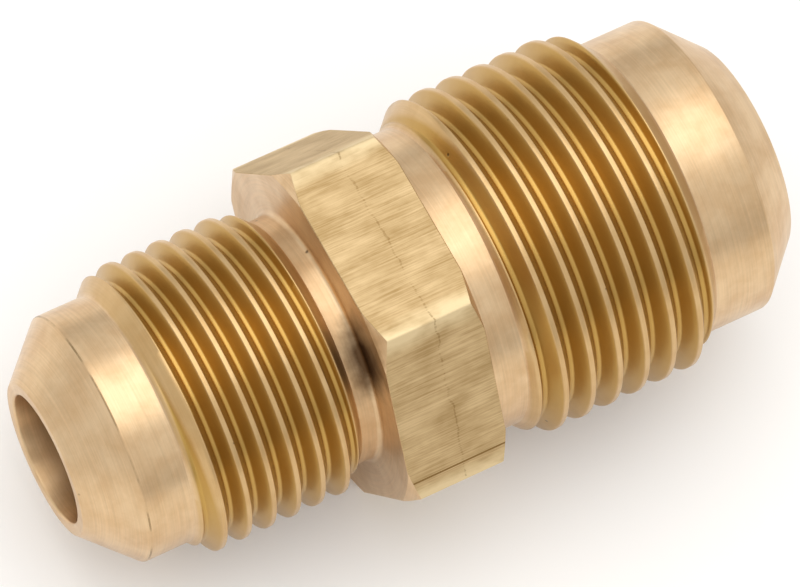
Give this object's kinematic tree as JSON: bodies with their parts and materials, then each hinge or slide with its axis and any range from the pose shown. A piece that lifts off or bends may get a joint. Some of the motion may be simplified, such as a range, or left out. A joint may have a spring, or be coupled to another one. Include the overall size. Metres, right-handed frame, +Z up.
{
  "type": "flare reducing union",
  "caption": "Brass reducing union with a hexagon between a smaller and a larger male flare end, each with a 45 degree seat cone, a plain land and a right-hand thread, bored right through.",
  "frame": {"origin": "on the axis of the passage, at the middle of the hexagon's width", "axes": "+X along the axis towards the large end, +Z up through a flat of the hexagon, so the opposite flat is underneath"},
  "size_m": [0.0407, 0.021, 0.019],
  "materials": {
    "brass": "bright turned brass, drawn finish on the flats of the hexagon"
  },
  "bodies": {
    "root": {"union_body": "brass"}
  },
  "joints": []
}
